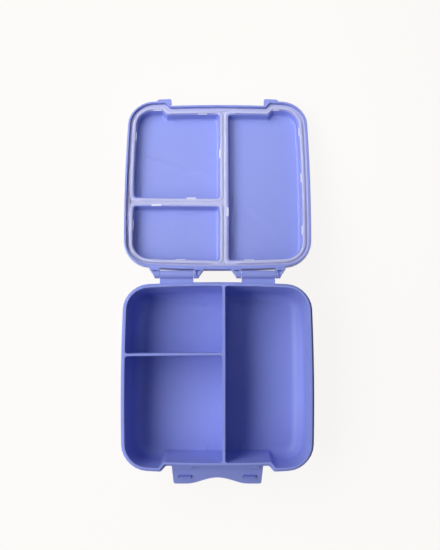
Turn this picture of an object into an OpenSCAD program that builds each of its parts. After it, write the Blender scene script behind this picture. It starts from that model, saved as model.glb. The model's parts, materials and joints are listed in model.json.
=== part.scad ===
// Lunch box with three compartments: a divided tray, a lid that folds right back on
// two hinges, the silicone seal of the lid, and one wide clip at the front.
// Origin at the middle of the tray's underside, +Z up, +Y towards the hinges.
// The lid lies open behind the tray and the clip hangs open in front of it.

/* [Tray] */
// Width of the tray over its flange
tray_w = 175; // [170:1:190]
// Depth of the tray over its flange, from the clip side to the hinge side
tray_d = 171.5; // [160:0.5:185]
// Height of the tray to the top of its rim
tray_h = 50; // [44:1:58]
// Thickness of the walls and of the floor
wall_t = 2; // [1.6:0.1:2.4]
// Radius of the four corners in plan
corner_r = 22.5; // [20:0.5:28]
// How far the middles of the left and right sides stand out past their ends
side_bow = 1.8; // [0:0.1:3]
// How far the middles of the front and the back stand out past their ends
end_bow = 3.3; // [0:0.1:4]
// Lean of the walls, in degrees
draft_deg = 3.5; // [2:0.5:5]
// Outer radius between the walls and the underside
foot_r = 14; // [8:1:16]
// Width of the rim that meets the seal
rim_t = 2; // [1.6:0.1:2.6]
// How far the flange stands out past the rim
flange_out = 1.6; // [1:0.1:2.2]
// Depth of the flange below the top of the rim
flange_drop = 3.5; // [3:0.1:4.5]
// Thickness of the flange
flange_t = 1.5; // [1.2:0.1:2]

/* [Dividers] */
// Distance of the long divider to the right of the middle
divider_x = 6; // [0:1:20]
// Distance of the short divider behind the middle
divider_y = 20; // [5:1:35]
// Thickness of a divider at its top
divider_t = 2.1; // [1.6:0.1:3]
// Radius where a divider meets the rim
junction_r = 2.7; // [1.5:0.1:4]
// Height of the core slots under the dividers
core_h = 24; // [12:1:34]

/* [Clip recess] */
// Depth of the recess at the top of the front wall
recess_d = 5.5; // [4:0.5:7]
// Gap between the side of the clip and the side of the recess
recess_gap = 4.6; // [3:0.2:6]
// Width of the curved step at each end of the recess
recess_step = 6.5; // [5:0.5:8]
// Lean of the recessed wall, in degrees
panel_deg = 6.8; // [5:0.2:11]

/* [Lid] */
// Height of the lid above the rim when it is shut
lid_rise = 12; // [8.5:0.5:14]
// Thickness of the roof of the lid
roof_t = 2; // [1.6:0.1:2.4]
// Thickness of the lid's skirt
skirt_t = 1.9; // [1.5:0.1:2.4]
// Extra thickness of the skirt on the hinge side
hinge_land = 1.2; // [0:0.1:2]
// Height of the lid's flange above the rim
lid_flange = 3.6; // [3.2:0.1:4.5]
// Length of each horn beside the recess, along X
horn_w = 15; // [10:1:18]
// How far a horn stands out in front of the lid's edge
horn_out = 1.8; // [1.5:0.1:4]

/* [Seal] */
// Width of a bead of the seal
bead_w = 3; // [2.4:0.1:3.4]
// Gap between the two beads over a divider
bead_split = 1; // [0.6:0.1:1.6]
// How far the outer beads reach down inside the rim
plug_h = 1.6; // [1:0.1:2.2]
// Thickness of the seal's web over the rim
web_t = 1.4; // [1.2:0.1:1.8]
// Length of a pull tab of the seal
tab_len = 9; // [6:1:12]

/* [Hinges] */
// Distance of each hinge from the middle
hinge_x = 37.5; // [34:0.5:42]
// Length of the tray's barrel
barrel_len = 30.5; // [24:0.5:32]
// Diameter of the barrel and of the lid's ears
barrel_d = 7.4; // [6.4:0.2:8]
// Distance of the hinge axis behind the tray's flange
hinge_back = 7; // [6.5:0.1:9]
// Depth of the hinge axis below the top of the rim
hinge_drop = 3.5; // [3:0.1:4]
// Diameter of a hinge pin
pin_d = 3; // [2:0.1:3.4]
// Width of an ear at its tip
ear_tip = 5; // [4:0.5:7]
// Width of an ear at the lid
ear_root = 9.5; // [8:0.5:11]
// Gap between an ear and the end of the barrel
ear_gap = 0.5; // [0.3:0.1:0.8]
// How far a hinge pin goes into each ear
pin_grip = 4; // [3:0.5:6]

/* [Clip] */
// Width of the clip
clip_w = 83; // [76:1:86]
// Length of the clip from its pivot to its free edge
clip_len = 21; // [18:0.5:24]
// Thickness of the clip
clip_t = 1.8; // [1.5:0.1:2.2]
// Depth of the finger cut in the free edge
wave_h = 7.2; // [3:0.2:8]
// Width of the finger cut
wave_w = 59; // [40:1:62]
// Angle from shut to hanging open, in degrees
clip_swing = 112; // [95:1:114]
// Outward lean of the clip's free half, in degrees
flare_deg = 9; // [0:1:12]
// Length of each snap rib
rib_len = 10.4; // [6:0.2:14]
// Distance of each snap rib from the middle
rib_x = 29.3; // [20:0.5:34]
// How far a snap rib reaches over the lid's flange
rib_catch = 0.6; // [0.3:0.1:0.9]
// Distance of each clip pivot from the middle
clip_pivot_x = 30; // [24:1:32]
// Diameter of a clip pin
clip_pin_d = 2; // [1.6:0.1:2.4]
// Length of a knuckle of the clip
knuckle_len = 8; // [6:1:10]
// Thickness of the tray's lugs beside a knuckle
lug_t = 3; // [2:0.5:4]

/* [Hidden] */
$fn = 48;
plastic = "#8f96e0";
silicone = "#c6caf0";
steel = "#c8cacc";

run_gap = 0.3;
fit_gap = 0.05;
half_w = tray_w / 2;
half_d = tray_d / 2;
corner_n = 7;
side_n = 6;
step_n = 5;
fillet_n = 5;

// Insets are measured from the outline of the tray's flange.
rim_out = flange_out;
rim_in = rim_out + rim_t;
skirt_in = rim_out - run_gap;
skirt_out = skirt_in - skirt_t;
bead_out = rim_in + 0.5;
bead_in = bead_out + bead_w;
bead_g = bead_split / 2;
rib_t = 0.9;
window_in = bead_in + rib_t;
window_g = bead_g + bead_w + rib_t;
window_r = 3;
dome_in = 4.4;

flange_top = tray_h - flange_drop;
flange_low = flange_top - flange_t;
web_low = tray_h + run_gap;
channel_top = web_low + web_t;
rib_low = tray_h + 0.8;
lid_top = tray_h + lid_rise;
lid_step = tray_h + lid_flange;
skirt_low = flange_top + run_gap;
recess_half = clip_w / 2 + recess_gap;

axis_y = half_d + hinge_back;
axis_z = tray_h - hinge_drop;
knuckle_r = 2.2;
pivot_out = 0.2;
pivot_y = -half_d + recess_d + pivot_out;
pivot_z = flange_low - knuckle_r - 0.5;
clip_gap = 2.6;

function lerp(a, b, t) = a + (b - a) * t;
function clamp01(t) = min(1, max(0, t));
function ease(t) = let (c = clamp01(t)) c * c * (3 - 2 * c);

// ---- outlines in plan ----

// How far the clip recess moves a front edge in. An edge given with the inset that its
// wall has at the rim leans with the recessed wall; any other keeps to the recess.
function recess_push(x, inset, z, wall) =
    let (edge = is_undef(wall) ? inset : wall)
    let (lean = is_undef(wall) ? 0 : (tray_h - z) * tan(panel_deg))
    let (foot = recess_half + 0.45 * edge)
    ease((foot + recess_step - abs(x)) / recess_step)
        * max(0, edge + recess_d + max(0, lean) - inset);

// How far the bow brings the front and the back in at x
function end_drop(x) = end_bow * pow(x / half_w, 2);

// A point of an outline, moved by the recess and by the bow of the sides
function place(x, y, inset, z, wall) =
    let (fade = clamp01(1 - (y + half_d - inset) / (half_d / 2)))
    let (y2 = y + fade * recess_push(x, inset, z, wall))
    [x * (1 - side_bow / half_w * pow(y2 / half_d, 2)),
     y2 * (1 - end_drop(x) / half_d),
     z];

function arc(cx, cy, r, start) =
    [for (i = [0:corner_n])
        let (a = start + 90 * i / corner_n)
        [cx + r * cos(a), cy + r * sin(a)]];

function between(p, q, count) =
    [for (i = [1:count - 1]) lerp(p, q, i / count)];

// Where a front edge needs points: along both curved steps and between them
function front_xs(from, to, edge) =
    let (foot = recess_half + 0.45 * edge)
    let (top = min(foot + recess_step, half_w - corner_r - 0.5))
    concat(
        from < -foot ? [for (i = [0:step_n]) lerp(-top, -foot, i / step_n)] : [],
        between(max(from, -foot), min(to, foot), side_n),
        to > foot ? [for (i = [0:step_n]) lerp(foot, top, i / step_n)] : []);

// Edges [left, right, front, back] of a bay, gap from the middle of each divider:
// 0 front left, 1 back left, 2 right, 3 the whole tray
function bay_box(bay, inset, gap) =
    [bay == 2 ? divider_x + gap : -half_w + inset,
     bay < 2 ? divider_x - gap : half_w - inset,
     bay == 1 ? divider_y + gap : -half_d + inset,
     bay == 0 ? divider_y - gap : half_d - inset];

// Corner radii in the order front left, front right, back right, back left
function bay_radii(bay, inset, inner_r) =
    let (outer_r = max(1, corner_r - inset))
    [bay == 0 || bay == 3 ? outer_r : inner_r,
     bay > 1 ? outer_r : inner_r,
     bay > 1 ? outer_r : inner_r,
     bay == 1 || bay == 3 ? outer_r : inner_r];

// Closed outline of a bay: inset from the flange, gap from the middle of the dividers
function ring(bay, inset, gap, inner_r, z, wall) =
    let (b = bay_box(bay, inset, gap))
    let (r = bay_radii(bay, inset, inner_r))
    let (flat = concat(
        arc(b[0] + r[0], b[2] + r[0], r[0], 180),
        [for (x = front_xs(b[0] + r[0], b[1] - r[1], is_undef(wall) ? inset : wall)) [x, b[2]]],
        arc(b[1] - r[1], b[2] + r[1], r[1], 270),
        [for (y = between(b[2] + r[1], b[3] - r[2], side_n)) [b[1], y]],
        arc(b[1] - r[2], b[3] - r[2], r[2], 0),
        [for (x = between(b[1] - r[2], b[0] + r[3], side_n)) [x, b[3]]],
        arc(b[0] + r[3], b[3] - r[3], r[3], 90),
        [for (y = between(b[3] - r[3], b[2] + r[0], side_n)) [b[0], y]]))
    [for (p = flat) place(p[0], p[1], inset, z, wall)];

// ---- lofts ----

function loft_walls(count, rows, wrap) =
    [for (k = [0:rows - (wrap ? 1 : 2)], i = [0:count - 1])
        let (a = k * count, b = (k + 1) % rows * count, j = (i + 1) % count)
        each [[a + i, b + i, b + j], [a + i, b + j, a + j]]];

// Middle of a flat outline
function middle(r) =
    let (m = [for (p = r) 1] * r / len(r))
    [m[0], m[1], r[0][2]];

// A closed solid through flat rings of equal count, from the lowest up. Both ends are
// filled from their middles, which see every point of an outline with a recess.
module loft(rings) {
    count = len(rings[0]);
    rows = len(rings);
    low = rows * count;
    top = low - count;
    polyhedron(
        points = concat([for (r = rings) each r], [middle(rings[0]), middle(rings[rows - 1])]),
        faces = concat(
            loft_walls(count, rows, false),
            [for (i = [0:count - 1]) [low, i, (i + 1) % count]],
            [for (i = [0:count - 1]) [low + 1, top + (i + 1) % count, top + i]]));
}

// An upright prism on an outline
module prism(outline, low, high) {
    translate([0, 0, low])
        linear_extrude(high - low)
            polygon([for (p = outline) [p[0], p[1]]]);
}

// A closed loop of one section: up its outside, in over its top, down its inside
module hoop(rings) {
    polyhedron(
        points = [for (r = rings) each r],
        faces = loft_walls(len(rings[0]), len(rings), true));
}

// ---- tray ----

// Inset of the tray's wall at height z, t out from its inner face
function wall_inset(z, t) = rim_in + (tray_h - z) * tan(draft_deg) - t / cos(draft_deg);

foot_centre = wall_inset(foot_r, wall_t) + foot_r / cos(draft_deg);
outer_skin = rim_in - wall_t;

// Angle round the fillet, from its foot, at which the recessed wall runs into it
function panel_foot(t) =
    let (across = foot_centre - (rim_in - t) - recess_d - (tray_h - foot_r) * tan(panel_deg))
    max(5, asin(clamp01(across * cos(panel_deg) / (foot_r - wall_t + t))) - panel_deg);

// [inset, height] from the floor up round the fillet
function foot_levels(t) =
    let (crease = panel_foot(t))
    [for (i = [-1:fillet_n])
        let (a = i < 0 ? 0 : lerp(crease, 90 - draft_deg, i / fillet_n), r = foot_r - wall_t + t)
        [foot_centre - r * sin(a), foot_r - r * cos(a)]];

tray_levels = concat(
    foot_levels(wall_t),
    [[wall_inset(flange_low, wall_t), flange_low],
     [0.3, flange_low],
     [0, flange_low + 0.3],
     [0, flange_top - 0.3],
     [0.3, flange_top],
     [rim_out, flange_top],
     [rim_out, tray_h - 0.4],
     [rim_out + 0.4, tray_h]]);

module tray_shell() {
    walls = len(foot_levels(wall_t)) + 1;
    loft([for (i = [0:len(tray_levels) - 1])
        let (v = tray_levels[i])
        ring(3, v[0], 0, 0, v[1], i < walls ? outer_skin : undef)]);
}

pocket_levels = concat(
    foot_levels(0),
    [[wall_inset(tray_h * 0.6, 0), tray_h * 0.6],
     [rim_in + 0.2, tray_h - 0.6],
     [rim_in, tray_h],
     [rim_in, tray_h + 2]]);

// Space of one compartment, its inner corners wider towards the floor
module pocket(bay) {
    loft([for (v = pocket_levels)
        let (sink = clamp01((tray_h - v[1]) / tray_h))
        ring(bay, v[0], v[0] - rim_in + divider_t / 2,
            junction_r + 7 * sink, v[1], rim_in)]);
}

// Slots from below that keep the dividers as thin as the walls
module divider_cores() {
    foot = 2.8;
    tip = 0.6;
    section = [[-foot, -1], [foot, -1], [foot * 0.6, core_h * 0.3], [tip, core_h],
        [-tip, core_h], [-foot * 0.6, core_h * 0.3]];
    side = foot_centre + 8;
    translate([divider_x, half_d - side, 0])
        rotate([90, 0, 0])
            linear_extrude(tray_d - 2 * side) polygon(section);
    translate([-half_w + side, divider_y, 0])
        rotate([90, 0, 90])
            linear_extrude(half_w - side + divider_x - 8) polygon(section);
}

// A barrel behind the back wall on its tongue, [y, z] section pushed along X
module tray_barrel(x) {
    tongue_y = half_d - rim_in;
    translate([x - barrel_len / 2, 0, 0])
        rotate([90, 0, 90])
            linear_extrude(barrel_len)
                polygon([
                    [tongue_y, flange_top],
                    [tongue_y, flange_low - 7],
                    [half_d - 1, flange_low - 4],
                    [axis_y + 0.5, axis_z - barrel_d / 2],
                    [axis_y + 0.5, axis_z],
                    [axis_y - 2, flange_top]]);
    translate([x - barrel_len / 2, axis_y, axis_z])
        rotate([0, 90, 0]) cylinder(d = barrel_d, h = barrel_len);
}

module x_bore(x, y, z, d, length) {
    translate([x - length / 2, y, z])
        rotate([0, 90, 0]) cylinder(d = d, h = length);
}

// Lugs under the front flange, one each side of a knuckle of the clip
module tray_lugs(x) {
    reach = outer_skin + (tray_h - pivot_z) * tan(panel_deg) - pivot_out + wall_t * 0.6;
    for (side = [-1, 1]) {
        mid = x + side * (knuckle_len / 2 + run_gap + lug_t / 2);
        x_bore(mid, pivot_y, pivot_z, 2 * knuckle_r, lug_t);
        translate([mid - lug_t / 2, pivot_y, pivot_z - knuckle_r / 2])
            cube([lug_t, reach, flange_low - pivot_z + knuckle_r / 2 + 0.4]);
        translate([mid - lug_t / 2, pivot_y - knuckle_r * 0.3, pivot_z])
            cube([lug_t, reach, flange_low - pivot_z + 0.4]);
    }
}

module tray() {
    color(plastic)
    difference() {
        union() {
            difference() {
                tray_shell();
                for (bay = [0:2]) pocket(bay);
                divider_cores();
            }
            for (side = [-1, 1]) {
                tray_barrel(side * hinge_x);
                tray_lugs(side * clip_pivot_x);
            }
        }
        for (side = [-1, 1]) {
            x_bore(side * hinge_x, axis_y, axis_z, pin_d + 2 * fit_gap, barrel_len + 2);
            x_bore(side * clip_pivot_x, pivot_y, pivot_z, clip_pin_d + 2 * fit_gap,
                knuckle_len + 2 * lug_t + 4);
        }
    }
}

// ---- lid, drawn shut ----

lid_round = 4;
lid_levels = concat(
    [[skirt_out + 0.4, skirt_low],
     [skirt_out, skirt_low + 0.4],
     [skirt_out, lid_step - 0.7],
     [skirt_out + 0.7, lid_step],
     [dome_in, lid_step],
     [dome_in + 0.5, lid_step + 0.4]],
    [for (i = [0:5])
        let (a = 90 * i / 5)
        [dome_in + 0.9 + lid_round * (1 - cos(a)), lid_top - lid_round * (1 - sin(a))]]);
lid_rings = [for (v = lid_levels) ring(3, v[0], 0, 0, v[1])];

window_round = 2.5;
window_top = lid_top - roof_t;
window_levels = concat(
    [[0, skirt_low - 1], [0, rib_low + 0.4]],
    [for (i = [0:4])
        let (a = 90 * i / 4)
        [0.5 + window_round * (1 - cos(a)), window_top - window_round * (1 - sin(a))]]);

// Hollow of the lid over one compartment
module window(bay) {
    loft([for (v = window_levels)
        ring(bay, window_in + v[0], window_g + v[0], window_r + v[0] / 2, v[1])]);
}

// Rib round a window that backs the bead of the seal
module window_rib(bay) {
    prism(ring(bay, bead_in + fit_gap, bead_g + bead_w + fit_gap, window_r, rib_low),
        rib_low, channel_top + 0.6);
}

// Thicker skirt along the hinge side
module lid_land() {
    back = half_d - skirt_out;
    span = half_w - corner_r + 2;
    translate([0, 0, skirt_low + 0.1])
        linear_extrude(lid_step - skirt_low - 1)
            polygon(concat(
                [[-span, back - 3], [span, back - 3]],
                [for (i = [6:-1:-6])
                    let (x = span * i / 6)
                    let (rise = ease((span - abs(x)) / 6) * (hinge_land + 0.6) - 0.6)
                    [x, back + rise - end_drop(x)]]));
}

// An ear in plan and in section: square to the pin beside the barrel, rounded outside
module lid_ear(x, side) {
    inner = barrel_len / 2 + ear_gap;
    round = 2.8;
    root_y = half_d - 3;
    tip_y = axis_y + barrel_d / 2 + 0.4;
    intersection() {
        translate([x, 0, skirt_low - barrel_d])
            mirror([side < 0 ? 1 : 0, 0, 0])
                linear_extrude(lid_step - skirt_low + 2 * barrel_d)
                    polygon(concat(
                        [[inner, root_y], [inner, tip_y]],
                        [for (i = [0:4])
                            let (a = 90 * i / 4)
                            [inner + ear_tip - round * (1 - sin(a)), tip_y - round * (1 - cos(a))]],
                        [[inner + ear_root, root_y + 4], [inner + ear_root, root_y]]));
        union() {
            x_bore(x + side * barrel_len / 2, axis_y, axis_z, barrel_d, 3 * ear_root);
            translate([x + side * barrel_len / 2 - 1.5 * ear_root, 0, 0])
                rotate([90, 0, 90])
                    linear_extrude(3 * ear_root)
                        polygon([
                            [root_y, skirt_low + 0.3],
                            [axis_y - hinge_back + 1.5, skirt_low + 0.3],
                            [axis_y - barrel_d / 2 + 0.3, axis_z],
                            [axis_y, axis_z],
                            [axis_y + barrel_d * 0.36, axis_z + barrel_d * 0.345],
                            [root_y + 4, lid_step - 0.6],
                            [root_y, lid_step - 0.6]]);
        }
    }
}

// Hollow in the underside of an ear, beside the pin
module ear_core(x, side) {
    skin = 1.8;
    inner = barrel_len / 2 + ear_gap + skin;
    base_y = half_d + hinge_land + skin;
    tip_y = axis_y - pin_d / 2 - 0.7;
    translate([x, 0, axis_z - barrel_d])
        mirror([side < 0 ? 1 : 0, 0, 0])
            linear_extrude(barrel_d + 3)
                polygon([
                    [inner, base_y],
                    [inner + ear_root - 2 * skin - 0.6, base_y],
                    [inner + ear_tip - skin, tip_y],
                    [inner, tip_y]]);
}

// Solid horns beside the recess: a straight side at the clip, a slanted one outside
module lid_horn(side) {
    inner = recess_half - 0.7;
    outer = inner + horn_w;
    edge = -half_d + skirt_out;
    tip = edge - horn_out;
    slant = 2.5;
    outline = [
        [inner, edge + recess_d + 1],
        [inner, tip + 1.2 + end_drop(inner)],
        [inner + 1, tip + end_drop(inner)],
        [outer - slant, tip + end_drop(outer - slant)],
        [outer, tip + slant + end_drop(outer)],
        [outer, edge + 3.5],
        [inner + recess_step + 3, edge + 3.5]];
    mirror([side < 0 ? 1 : 0, 0, 0])
        translate([0, 0, skirt_low + 0.2])
            linear_extrude(lid_step - skirt_low - 0.9) polygon(outline);
}

module lid_shut() {
    difference() {
        union() {
            difference() {
                union() {
                    loft(lid_rings);
                    lid_land();
                    for (side = [-1, 1]) lid_horn(side);
                    for (x = [-hinge_x, hinge_x], side = [-1, 1]) lid_ear(x, side);
                }
                prism(ring(3, skirt_in, 0, 0, skirt_low), skirt_low - 8, channel_top);
            }
            for (bay = [0:2]) window_rib(bay);
        }
        for (bay = [0:2]) window(bay);
        for (x = [-hinge_x, hinge_x]) {
            x_bore(x, axis_y, axis_z, pin_d + 2 * fit_gap, barrel_len + 2 * ear_gap + 2 * pin_grip);
            for (side = [-1, 1]) ear_core(x, side);
        }
    }
}

// ---- seal, drawn shut ----

seal_edge = skirt_in + 0.1;

// How far the bead reaches below the web: full along the rim, none over the dividers
function bead_reach(x, y) =
    let (near_long = abs(x - divider_x))
    let (near_short = x < divider_x ? abs(y - divider_y) : tray_d)
    plug_h * ease((min(near_long, near_short) - 6) / 5);

// One ring of the bead: across runs from 0 at the rim side to 1 at the window side
function bead_ring(bay, across, z, tip) =
    let (inset = bead_out + bead_w * across)
    [for (p = ring(bay, inset, bead_g + bead_w * across, window_r + bead_w * (1 - across), z))
        [p[0], p[1], p[2] - (tip ? bead_reach(p[0], p[1]) : 0)]];

module bead(bay) {
    hoop([
        bead_ring(bay, 0, web_low + 0.5, true),
        bead_ring(bay, 0, channel_top - 0.2, false),
        bead_ring(bay, 1, channel_top - 0.2, false),
        bead_ring(bay, 1, web_low + 0.5, true),
        bead_ring(bay, 0.8, web_low + 0.12, true),
        bead_ring(bay, 0.5, web_low, true),
        bead_ring(bay, 0.2, web_low + 0.12, true)]);
}

// Where the pull tabs sit: [bay, along X (true) or along Y, middle of the tab, at the
// front or left end (-1) or at the back or right end (1)]
tab_places = [
    [0, true, -15, -1], [0, true, -60, -1], [0, true, -25, 1], [0, false, -50, -1],
    [0, false, -30, 1], [1, true, -58, -1], [1, true, -35, 1], [1, false, 45, -1],
    [2, true, 57, -1], [2, true, 30, 1], [2, false, 30, -1], [2, false, -55, 1],
    [2, false, -5, 1], [2, false, 50, 1]];

module seal_tab(place_of) {
    bay = place_of[0];
    b = bay_box(bay, bead_in, bead_g + bead_w);
    end = place_of[3];
    mid = place_of[2];
    base = place_of[1] ? b[end < 0 ? 2 : 3] : b[end < 0 ? 0 : 1];
    spot = place(place_of[1] ? mid : base, place_of[1] ? base : mid, bead_in, tray_h);
    size = place_of[1] ? [tab_len, 2.2] : [2.2, tab_len];
    translate([spot[0], spot[1], rib_low - 0.35])
        translate([-size[0] / 2, -size[1] / 2, -0.4])
            cube([size[0], size[1], 0.7]);
}

module seal_shut() {
    difference() {
        prism(ring(3, seal_edge, 0, 0, web_low), web_low + 0.04, channel_top);
        prism(ring(3, bead_out + 0.6, 0, 0, web_low), web_low - 1, web_low + 0.8);
        for (bay = [0:2])
            prism(ring(bay, bead_in - 0.3, bead_g + bead_w - 0.3, window_r + 0.3, web_low),
                web_low - 2, channel_top + 1);
    }
    for (bay = [0:2]) bead(bay);
    for (p = tab_places) seal_tab(p);
}

// ---- opening the lid ----

table_gap = 0.2;

// Droop past flat at which a point of the shut lid would meet the table
function contact_deg(p) =
    let (s = axis_y - p[1], t = p[2] - axis_z)
    let (ratio = (axis_z - table_gap) / norm([s, t]))
    ratio > 1 ? 90 : asin(ratio) - atan2(t, s);

droop_deg = min([for (r = lid_rings) for (p = r) contact_deg(p)]);
open_deg = 180 + droop_deg;
echo(open_deg = open_deg);

module swing_open() {
    translate([0, axis_y, axis_z])
        rotate([-open_deg, 0, 0])
            translate([0, -axis_y, -axis_z]) children();
}

module lid() {
    color(plastic) swing_open() lid_shut();
}

module lid_seal() {
    color(silicone) swing_open() seal_shut();
}

module hinge_pin(side) {
    length = barrel_len + 2 * ear_gap + 2 * pin_grip - 0.4;
    color(steel) x_bore(side * hinge_x, axis_y, axis_z, pin_d, length);
}

// ---- clip, drawn shut ----

clip_bend = tray_h - pivot_z;

// Side of the clip: [out, up] from the pivot
function clip_face(up) = clip_gap + max(0, up - clip_bend) * tan(flare_deg);

module clip_section() {
    polygon([
        [clip_face(0), -0.6],
        [clip_face(0), clip_bend],
        [clip_face(clip_len), clip_len - 0.4],
        [clip_face(clip_len) + 0.4, clip_len],
        [clip_face(clip_len) + clip_t - 0.4, clip_len],
        [clip_face(clip_len) + clip_t, clip_len - 0.4],
        [clip_face(0) + clip_t, clip_bend],
        [clip_face(0) + clip_t, 0.6],
        [clip_face(0) + clip_t - 1.2, -0.6]]);
}

function wave_top(x) =
    abs(x) < wave_w / 2 ? clip_len - wave_h * (1 + cos(360 * x / wave_w)) / 2 : clip_len + 1;

// Front view of the clip: rounded corners and the finger cut
module clip_outline() {
    taper = 1.4;
    round = 2.6;
    half = clip_w / 2;
    polygon(concat(
        [[-half, -2], [half, -2], [half - taper, clip_len - round]],
        [for (i = [1:5])
            let (a = 90 * i / 5)
            [half - taper - round * (1 - cos(a)), clip_len - round * (1 - sin(a)) + 0.02]],
        [for (i = [20:-1:-20])
            let (x = wave_w / 2 * i / 20)
            [x, min(clip_len + 0.02, wave_top(x))]],
        [for (i = [5:-1:1])
            let (a = 90 * i / 5)
            [-half + taper + round * (1 - cos(a)), clip_len - round * (1 - sin(a)) + 0.02]],
        [[-half + taper, clip_len - round]]));
}

// Rib that snaps over the lid's flange
module clip_rib(x) {
    low = lid_step - pivot_z + 0.5;
    tip = pivot_out - skirt_out - rib_catch;
    translate([x - rib_len / 2, 0, 0])
        rotate([90, 0, 90])
            mirror([1, 0, 0])
                linear_extrude(rib_len)
                    polygon([
                        [clip_face(low) + 0.6, low],
                        [tip, low],
                        [tip, low + 0.6],
                        [clip_face(low + 2) + 0.6, low + 2]]);
}

module clip_shut() {
    difference() {
        union() {
            intersection() {
                translate([-clip_w / 2, 0, 0])
                    rotate([90, 0, 90])
                        mirror([1, 0, 0]) linear_extrude(clip_w) clip_section();
                translate([0, 10, 0])
                    rotate([90, 0, 0]) linear_extrude(40) clip_outline();
            }
            for (side = [-1, 1]) {
                clip_rib(side * rib_x);
                x_bore(side * clip_pivot_x, 0, 0, 2 * knuckle_r, knuckle_len);
                translate([side * clip_pivot_x - knuckle_len / 2, -clip_gap - 0.6, -0.6])
                    cube([knuckle_len, clip_gap + 0.6, knuckle_r + 0.6]);
            }
        }
        for (side = [-1, 1])
            x_bore(side * clip_pivot_x, 0, 0, clip_pin_d + 2 * fit_gap, knuckle_len + 2);
    }
}

module clip() {
    color(plastic)
        translate([0, pivot_y, pivot_z])
            rotate([clip_swing, 0, 0]) clip_shut();
}

module clip_pin(side) {
    length = knuckle_len + 2 * run_gap + 2 * lug_t;
    color(steel) x_bore(side * clip_pivot_x, pivot_y, pivot_z, clip_pin_d, length);
}

tray();
lid();
lid_seal();
clip();
hinge_pin(-1);  // hinge_pin_left
hinge_pin(1);  // hinge_pin_right
clip_pin(-1);  // clip_pin_left
clip_pin(1);  // clip_pin_right
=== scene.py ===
# Divided lunch box, lid open behind it and clip hanging in front: finishes, light and camera
import json
import math

import bmesh
import bpy
from mathutils import Matrix, Vector


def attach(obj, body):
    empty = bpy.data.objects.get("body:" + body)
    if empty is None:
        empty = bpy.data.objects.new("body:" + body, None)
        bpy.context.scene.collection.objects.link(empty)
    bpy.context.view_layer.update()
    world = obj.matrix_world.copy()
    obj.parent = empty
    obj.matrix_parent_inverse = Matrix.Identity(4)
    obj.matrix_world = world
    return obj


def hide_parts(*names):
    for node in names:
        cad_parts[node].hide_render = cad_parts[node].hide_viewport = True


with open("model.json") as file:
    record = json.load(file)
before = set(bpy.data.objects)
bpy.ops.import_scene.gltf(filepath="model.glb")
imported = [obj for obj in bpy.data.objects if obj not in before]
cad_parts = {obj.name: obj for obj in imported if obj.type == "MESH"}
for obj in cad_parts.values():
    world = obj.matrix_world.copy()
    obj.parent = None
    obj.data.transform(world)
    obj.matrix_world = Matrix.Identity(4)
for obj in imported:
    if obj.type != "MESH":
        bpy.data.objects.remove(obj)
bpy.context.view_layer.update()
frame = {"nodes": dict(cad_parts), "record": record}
print("frame loaded:", len(frame["nodes"]), "nodes")


def linearColour(hexText, alpha=1.0):
    # sRGB hex to the linear values that shaders take
    channels = [int(hexText[i:i + 2], 16) / 255 for i in (1, 3, 5)]
    linear = [c / 12.92 if c <= 0.04045 else ((c + 0.055) / 1.055) ** 2.4 for c in channels]
    return (*linear, alpha)


def addNode(tree, kind, settings=None, links=None):
    # one node with its settings, and links from {input: (node, output)}
    node = tree.nodes.new(kind)
    for name, value in (settings or {}).items():
        if isinstance(name, int) or name in node.inputs:
            node.inputs[name].default_value = value
        else:
            setattr(node, name, value)
    for name, (source, output) in (links or {}).items():
        tree.links.new(source.outputs[output], node.inputs[name])
    return node


def newMaterial(name):
    material = bpy.data.materials.new(name)
    material.use_nodes = True
    material.node_tree.nodes.clear()
    return material, material.node_tree


cameraPlan = {
    "place": (0.0023, 0.0182, 0.764),  # nearly straight above the middle of the tray
    "tilt": 5.89,  # degrees, towards the lid
    "focalPixels": 786.6,
    "imageHeight": 550,
}


def makeCamera(plan):
    data = bpy.data.cameras.new("studioCamera")
    data.lens = data.sensor_width * plan["focalPixels"] / plan["imageHeight"]
    camera = bpy.data.objects.new("studioCamera", data)
    camera.location = plan["place"]
    camera.rotation_euler = (math.radians(plan["tilt"]), 0, 0)
    data.clip_start, data.clip_end = 0.01, 20
    bpy.context.scene.collection.objects.link(camera)
    bpy.context.scene.camera = camera


makeCamera(cameraPlan)
print("camera set")


plasticPlan = {
    "colour": "#8e99df",
    "deepColour": "#8995dc",  # where the melt met and the pigment lies a little denser
    "roughness": 0.32,
    "gloss": 0.2,  # specular level: the tool grain scatters most of the mirror light
    "grainMm": 0.5,  # spark-eroded tool grain; the real one is about 0.1 mm and wouldn't show
    "driftMm": 45,
    "edgeRound": 0.35,
}


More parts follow.
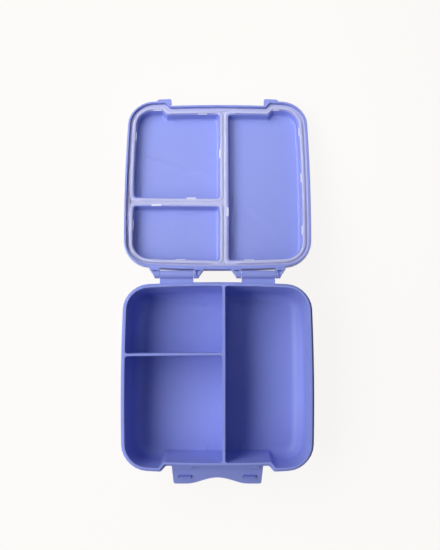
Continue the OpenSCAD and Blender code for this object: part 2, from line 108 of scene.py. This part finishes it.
def polypropylene(plan):
    # injection-moulded polypropylene from a finely spark-eroded tool: satin and evenly
    # coloured through, with soft wide highlights
    material, tree = newMaterial("mouldedPolypropylene")
    place = addNode(tree, "ShaderNodeTexCoord")
    drift = addNode(tree, "ShaderNodeTexNoise",
                    {"Scale": 1000 / plan["driftMm"], "Detail": 2.0, "Roughness": 0.5},
                    {"Vector": (place, "Object")})
    colour = addNode(tree, "ShaderNodeMix",
                     {"data_type": "RGBA", 6: linearColour(plan["colour"]),
                      7: linearColour(plan["deepColour"])},
                     {"Factor": (drift, "Fac")})
    grain = addNode(tree, "ShaderNodeTexNoise",
                    {"Scale": 1000 / plan["grainMm"], "Detail": 3.0, "Roughness": 0.6},
                    {"Vector": (place, "Object")})
    rough = addNode(tree, "ShaderNodeMapRange",
                    {"To Min": plan["roughness"] - 0.08, "To Max": plan["roughness"] + 0.08},
                    {"Value": (drift, "Fac")})
    softEdge = addNode(tree, "ShaderNodeBevel",
                       {"samples": 6, "Radius": plan["edgeRound"] / 1000})
    bump = addNode(tree, "ShaderNodeBump",
                   {"Strength": 0.12, "Distance": 0.0001},
                   {"Height": (grain, "Fac"), "Normal": (softEdge, "Normal")})
    surface = addNode(tree, "ShaderNodeBsdfPrincipled",
                      {"IOR": 1.49, "Specular IOR Level": plan["gloss"]},
                      {"Base Color": (colour, 2), "Roughness": (rough, "Result"),
                       "Normal": (bump, "Normal")})
    addNode(tree, "ShaderNodeOutputMaterial", {}, {"Surface": (surface, "BSDF")})
    return material


sealPlan = {
    "colour": "#b9bce1",
    "thinColour": "#afb2da",
    "roughness": 0.55,
    "cloudMm": 9,
    "skinMm": 1.2,  # the real skin is finer and would not show
    "edgeRound": 0.3,
}
tabPlan = {**sealPlan, "colour": "#d6d8ef", "thinColour": "#cfd2ec"}


def siliconeRubber(name, plan):
    # compression-moulded silicone, tinted like the box: milky and matt, with no sharp light
    material, tree = newMaterial(name)
    place = addNode(tree, "ShaderNodeTexCoord")
    cloud = addNode(tree, "ShaderNodeTexNoise",
                    {"Scale": 1000 / plan["cloudMm"], "Detail": 3.0},
                    {"Vector": (place, "Object")})
    colour = addNode(tree, "ShaderNodeMix",
                     {"data_type": "RGBA", 6: linearColour(plan["colour"]),
                      7: linearColour(plan["thinColour"])},
                     {"Factor": (cloud, "Fac")})
    skin = addNode(tree, "ShaderNodeTexNoise",
                   {"Scale": 1000 / plan["skinMm"], "Detail": 2.0},
                   {"Vector": (place, "Object")})
    softEdge = addNode(tree, "ShaderNodeBevel",
                       {"samples": 6, "Radius": plan["edgeRound"] / 1000})
    bump = addNode(tree, "ShaderNodeBump",
                   {"Strength": 0.08, "Distance": 0.0001},
                   {"Height": (skin, "Fac"), "Normal": (softEdge, "Normal")})
    surface = addNode(tree, "ShaderNodeBsdfPrincipled",
                      {"IOR": 1.41, "Roughness": plan["roughness"], "Sheen Weight": 0.1},
                      {"Base Color": (colour, 2), "Normal": (bump, "Normal")})
    addNode(tree, "ShaderNodeOutputMaterial", {}, {"Surface": (surface, "BSDF")})
    return material


pinPlan = {"colour": "#c9cacc", "roughness": 0.3, "lineMm": 0.15}


def drawnSteel(plan):
    # drawn stainless wire: fine lines along the pin, so its highlight runs across it
    material, tree = newMaterial("drawnStainlessSteel")
    place = addNode(tree, "ShaderNodeTexCoord")
    stretch = addNode(tree, "ShaderNodeMapping", {"Scale": (0.02, 1, 1)},
                      {"Vector": (place, "Object")})
    lines = addNode(tree, "ShaderNodeTexNoise",
                    {"Scale": 1000 / plan["lineMm"], "Detail": 2.0},
                    {"Vector": (stretch, "Vector")})
    rough = addNode(tree, "ShaderNodeMapRange",
                    {"To Min": plan["roughness"] - 0.08, "To Max": plan["roughness"] + 0.1},
                    {"Value": (lines, "Fac")})
    bump = addNode(tree, "ShaderNodeBump", {"Strength": 0.2, "Distance": 0.00005},
                   {"Height": (lines, "Fac")})
    surface = addNode(tree, "ShaderNodeBsdfPrincipled",
                      {"Base Color": linearColour(plan["colour"]), "Metallic": 1.0},
                      {"Roughness": (rough, "Result"), "Normal": (bump, "Normal")})
    addNode(tree, "ShaderNodeOutputMaterial", {}, {"Surface": (surface, "BSDF")})
    return material


plastic = polypropylene(plasticPlan)
silicone = siliconeRubber("mouldedSilicone", sealPlan)
thinSilicone = siliconeRubber("thinMouldedSilicone", tabPlan)
steel = drawnSteel(pinPlan)
print("finishes made")


skinPlan = {
    "weldGap": 0.000004,
    "flatAngle": 0.02,  # degrees; facets this close to flat become one face
    "creaseAngle": 30,  # degrees; a sharper edge keeps its crease
}


def weldedCopy(node, plan):
    # the loose triangles of a CAD solid, welded
    skin = bmesh.new()
    skin.from_mesh(frame["nodes"][node].data)
    bmesh.ops.remove_doubles(skin, verts=skin.verts, dist=plan["weldGap"])
    bmesh.ops.dissolve_degenerate(skin, dist=plan["weldGap"], edges=skin.edges)
    return skin


def solidObject(name, skin):
    data = bpy.data.meshes.new(name)
    skin.to_mesh(data)
    skin.free()
    solid = bpy.data.objects.new(name, data)
    bpy.context.scene.collection.objects.link(solid)
    return solid


def carve(solid, tools):
    # work each (operation, tool) into the solid in turn, and bake the result
    for operation, tool in tools:
        step = solid.modifiers.new(tool.name, "BOOLEAN")
        step.operation = operation
        step.object = tool
        step.solver = "EXACT"
    shaped = solid.evaluated_get(bpy.context.evaluated_depsgraph_get())
    skin = bmesh.new()
    skin.from_mesh(shaped.to_mesh())
    shaped.to_mesh_clear()
    for operation, tool in tools:
        bpy.data.objects.remove(tool)
    bpy.data.objects.remove(solid)
    return skin


def finishSkin(name, skin, node, body, material, plan):
    # flat facets joined, smooth shading up to the creases
    bmesh.ops.dissolve_limit(skin, angle_limit=math.radians(plan["flatAngle"]),
                             verts=skin.verts, edges=skin.edges)
    crease = math.radians(plan["creaseAngle"])
    for face in skin.faces:
        face.smooth = True
        face.material_index = 0
    for edge in skin.edges:
        edge.smooth = edge.calc_face_angle(math.pi) < crease
    piece = solidObject(name, skin)
    piece.data.materials.clear()
    piece.data.materials.append(material)
    flatten = piece.modifiers.new("evenShading", "WEIGHTED_NORMAL")
    flatten.keep_sharp = True
    flatten.weight = 60
    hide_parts(node)
    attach(piece, body)
    return piece


# The dividers stand straight on the floor, without the wide fillet of the outer walls, so
# the CAD tray's fillet there is cut away. Places and sizes are in millimetres.
dividerPlan = {
    "floorZ": 2.01,
    "topZ": 47,
    "wallFillet": 11.3,
    "filletSteps": 9,
    "hollows": {
        # (left, right, front, back) at the floor, how far each leans out by the top,
        # and the outer wall whose fillet the hollow follows
        "rightBesideLong": ((8.05, 22.5, -70.7, 78.9), (0.7, 0, 5.35, 2.7), "back"),
        "frontLeftBesideLong": ((-10.5, 3.95, -70.7, 17.95), (0, 0.7, 5.35, 0.7), None),
        "backLeftBesideLong": ((-10.5, 3.95, 22.05, 78.9), (0, 0.7, 0.7, 2.7), "back"),
        "frontLeftBesideShort": ((-80.55, 3.95, 3.5, 17.95), (2.7, 0.7, 0, 0.7), "left"),
        "backLeftBesideShort": ((-80.55, 3.95, 22.05, 36.5), (2.7, 0.7, 0.7, 0), "left"),
    },
    "ribs": {
        # middle, length and direction of the filling in each divider's core slot
        "longRib": ((6, 0), 119, "y"),
        "shortRib": ((-32, 20), 60, "x"),
    },
    "ribFoot": 2.95,
    "ribTip": 0.85,
    "ribLow": 0.6,  # the depth of the groove left in the underside
    "ribHigh": 24.6,
}


def hollowTool(name, corners, leans, filletSide, plan):
    # a box with leaning sides, its floor edge rounded along the outer wall
    left, right, front, back = corners
    tool = bmesh.new()
    bmesh.ops.create_cube(tool, size=1.0)
    for vert in tool.verts:
        high = vert.co.z > 0
        atRight, atBack = vert.co.x > 0, vert.co.y > 0
        x = right + high * leans[1] if atRight else left - high * leans[0]
        y = back + high * leans[3] if atBack else front - high * leans[2]
        vert.co = Vector((x, y, plan["topZ"] if high else plan["floorZ"])) / 1000
    if filletSide:
        axis, limit = (1, back) if filletSide == "back" else (0, left)
        floorEdge = [e for e in tool.edges if all(
            abs(v.co.z - plan["floorZ"] / 1000) < 1e-6
            and abs(v.co[axis] - limit / 1000) < 1e-6 for v in e.verts)]
        bmesh.ops.bevel(tool, geom=floorEdge, offset=plan["wallFillet"] / 1000,
                        segments=plan["filletSteps"], profile=0.5, affect="EDGES",
                        material=-1)
    bmesh.ops.recalc_face_normals(tool, faces=tool.faces)
    return solidObject(name, tool)


def ribTool(name, middle, length, along, plan):
    # a wedge that fills a core slot and leaves its mouth as a groove in the underside
    tool = bmesh.new()
    bmesh.ops.create_cube(tool, size=1.0)
    for vert in tool.verts:
        high = vert.co.z > 0
        half = plan["ribTip"] if high else plan["ribFoot"]
        reach = math.copysign(length / 2, vert.co.x)
        across = math.copysign(half, vert.co.y)
        x, y = (reach, across) if along == "x" else (-across, reach)
        vert.co = Vector((middle[0] + x, middle[1] + y,
                          plan["ribHigh"] if high else plan["ribLow"])) / 1000
    bmesh.ops.recalc_face_normals(tool, faces=tool.faces)
    return solidObject(name, tool)


def trayMoulding(plan, skinning):
    tray = solidObject("trayBlank", weldedCopy("tray", skinning))
    tools = [("UNION", ribTool(name, *rib, plan)) for name, rib in plan["ribs"].items()]
    tools += [("DIFFERENCE", hollowTool(name, *hollow, plan))
              for name, hollow in plan["hollows"].items()]
    return carve(tray, tools)


# cored pockets in the upper face of the opened lid's ears, beside each barrel
earPlan = {
    "hingeX": 37.5,
    "inside": 18.0,  # from the middle of the hinge
    "outsideNear": 19.4,
    "outsideFar": 22.2,
    "nearY": 91.2,
    "farY": 98.2,
    "bottomZ": 48.25,  # a thin wall stays over the pin
    "topZ": 54,
}


def earPocket(hinge, side, plan):
    tool = bmesh.new()
    bmesh.ops.create_cube(tool, size=1.0)
    for vert in tool.verts:
        far = vert.co.y > 0
        outside = plan["outsideFar"] if far else plan["outsideNear"]
        reach = outside if vert.co.x > 0 else plan["inside"]
        vert.co = Vector((hinge * plan["hingeX"] + side * reach,
                          plan["farY"] if far else plan["nearY"],
                          plan["topZ"] if vert.co.z > 0 else plan["bottomZ"])) / 1000
    bmesh.ops.recalc_face_normals(tool, faces=tool.faces)
    return solidObject("earPocket", tool)


def lidMoulding(plan, skinning):
    lid = solidObject("lidBlank", weldedCopy("lid", skinning))
    return carve(lid, [("DIFFERENCE", earPocket(hinge, side, plan))
                       for hinge in (-1, 1) for side in (-1, 1)])


# blind frame-shaped grooves round the clip's snap ribs, in the face turned up when it hangs
clipPlan = {
    "ribX": 29.3,
    "middle": (-90.64, 34.34),  # Y and Z of a rib's middle on the face
    "lean": 31,  # degrees the face leans forward
    "outer": (12.6, 3.5),
    "inner": (11.2, 2.3),
    "depth": 1.0,
    "above": 0.6,  # the tool starts this far over the face
}


def ribGroove(side, plan):
    # a grid of nine faces without its middle, pushed down into the face
    tool = bmesh.new()
    bmesh.ops.create_grid(tool, x_segments=3, y_segments=3, size=0.5)
    for vert in tool.verts:
        for axis in (0, 1):
            size = plan["outer"][axis] if abs(vert.co[axis]) > 0.4 else plan["inner"][axis]
            vert.co[axis] = math.copysign(size / 2000, vert.co[axis])
        vert.co.z = plan["above"] / 1000
    middle = min(tool.faces, key=lambda face: face.calc_center_median().xy.length)
    bmesh.ops.delete(tool, geom=[middle], context="FACES_ONLY")
    pushed = bmesh.ops.extrude_face_region(tool, geom=tool.faces[:])
    lower = [item for item in pushed["geom"] if isinstance(item, bmesh.types.BMVert)]
    depth = plan["above"] + plan["depth"]
    bmesh.ops.translate(tool, verts=lower, vec=Vector((0, 0, -depth / 1000)))
    bmesh.ops.rotate(tool, verts=tool.verts, cent=(0, 0, 0),
                     matrix=Matrix.Rotation(math.radians(plan["lean"]), 3, "X"))
    bmesh.ops.translate(tool, verts=tool.verts,
                        vec=Vector((side * plan["ribX"], *plan["middle"])) / 1000)
    bmesh.ops.recalc_face_normals(tool, faces=tool.faces)
    return solidObject("ribGroove", tool)


def clipMoulding(plan, skinning):
    clip = solidObject("clipBlank", weldedCopy("clip", skinning))
    return carve(clip, [("DIFFERENCE", ribGroove(side, plan)) for side in (-1, 1)])


finishSkin("trayMoulding", trayMoulding(dividerPlan, skinPlan), "tray", "tray", plastic,
           skinPlan)
finishSkin("lidMoulding", lidMoulding(earPlan, skinPlan), "lid", "lid", plastic,
           skinPlan)
finishSkin("lidSealRing", weldedCopy("lid_seal", skinPlan), "lid_seal", "lid", silicone,
           skinPlan)
finishSkin("frontClip", clipMoulding(clipPlan, skinPlan), "clip", "clip", plastic,
           skinPlan)

# the seal's pull tabs are thin and look paler than its beads
pullTabs = {"level": 50.05, "band": 0.03}  # millimetres above the table, with the lid shut


def paleTabs(ring, material, plan):
    hinge = frame["record"]["behaviour"]["joints"][0]
    middle = Vector(hinge["pos_m"])
    shut = Matrix.Rotation(math.radians(hinge["range_deg"][1]), 3, "X")
    for face in ring.data.polygons:
        height = (shut @ (face.center - middle) + middle).z * 1000
        if abs(height - plan["level"]) < plan["band"]:
            face.material_index = len(ring.data.materials)
    ring.data.materials.append(material)


paleTabs(bpy.data.objects["lidSealRing"], thinSilicone, pullTabs)

for node, pin in frame["nodes"].items():
    if "pin" in node:
        pin.data.materials.clear()
        pin.data.materials.append(steel)
print("moulded pieces made")


studioPlan = {
    "backdrop": "#fdfbf9",
    "floorSize": 6,
    "floorShow": 0.93,  # share of the plain backdrop in what the camera sees of the floor
    "worldLevel": 0.08,
    "worldColour": "#e4ebff",
    "lampColour": "#ffffff",
    "lamps": {
        # name: (place, what it points at, length and width, power, spread in degrees)
        "keyPanel": ((-0.8, 0.18, 0.95), (0, 0.08, 0.02), (2.4, 0.8), 25, 180),
        "lidPanel": ((-0.1, 0.5, 1.0), (0, 0.25, 0.02), (0.25, 0.25), 0.06, 14),
    },
}


def pathSwitch(tree):
    # 1 on what the camera, a gloss or a clear material sees, and 0 on light for the object
    path = addNode(tree, "ShaderNodeLightPath")
    gloss = addNode(tree, "ShaderNodeMath", {"operation": "MAXIMUM"},
                    {0: (path, "Is Camera Ray"), 1: (path, "Is Glossy Ray")})
    return addNode(tree, "ShaderNodeMath", {"operation": "MAXIMUM"},
                   {0: (gloss, "Value"), 1: (path, "Is Transmission Ray")})


def makeFloor(plan):
    mesh = bmesh.new()
    bmesh.ops.create_grid(mesh, x_segments=1, y_segments=1, size=plan["floorSize"] / 2)
    data = bpy.data.meshes.new("paperFloor")
    mesh.to_mesh(data)
    mesh.free()
    material, tree = newMaterial("matteFloorPaper")
    paper = addNode(tree, "ShaderNodeBsdfDiffuse",
                    {"Color": linearColour(plan["backdrop"]), "Roughness": 1.0})
    glow = addNode(tree, "ShaderNodeEmission",
                   {"Color": linearColour(plan["backdrop"]), "Strength": 1.0})
    share = addNode(tree, "ShaderNodeMath", {"operation": "MULTIPLY", 1: plan["floorShow"]},
                    {0: (pathSwitch(tree), "Value")})
    mixed = addNode(tree, "ShaderNodeMixShader", {},
                    {0: (share, "Value"), 1: (paper, "BSDF"), 2: (glow, "Emission")})
    addNode(tree, "ShaderNodeOutputMaterial", {}, {"Surface": (mixed, "Shader")})
    data.materials.append(material)
    floor = bpy.data.objects.new("paperFloor", data)
    bpy.context.scene.collection.objects.link(floor)


def makeWorld(plan):
    world = bpy.data.worlds.new("studioWorld")
    bpy.context.scene.world = world
    world.use_nodes = True
    tree = world.node_tree
    tree.nodes.clear()
    light = addNode(tree, "ShaderNodeBackground",
                    {"Color": linearColour(plan["worldColour"]), "Strength": plan["worldLevel"]})
    shown = addNode(tree, "ShaderNodeBackground",
                    {"Color": linearColour(plan["backdrop"]), "Strength": 1.0})
    mixed = addNode(tree, "ShaderNodeMixShader", {},
                    {0: (pathSwitch(tree), "Value"), 1: (light, "Background"),
                     2: (shown, "Background")})
    addNode(tree, "ShaderNodeOutputWorld", {}, {"Surface": (mixed, "Shader")})


def makeLamp(name, place, aim, size, power, spread, colour):
    lamp = bpy.data.lights.new(name, "AREA")
    lamp.shape = "RECTANGLE"
    lamp.size, lamp.size_y = size
    lamp.energy = power
    lamp.spread = math.radians(spread)
    lamp.color = linearColour(colour)[:3]
    holder = bpy.data.objects.new(name, lamp)
    holder.location = place
    holder.rotation_euler = (Vector(aim) - Vector(place)).to_track_quat("-Z", "Y").to_euler()
    bpy.context.scene.collection.objects.link(holder)


makeFloor(studioPlan)
makeWorld(studioPlan)
for name, setting in studioPlan["lamps"].items():
    makeLamp(name, *setting, studioPlan["lampColour"])
bpy.context.scene.view_settings.view_transform = "Standard"
print("studio made")
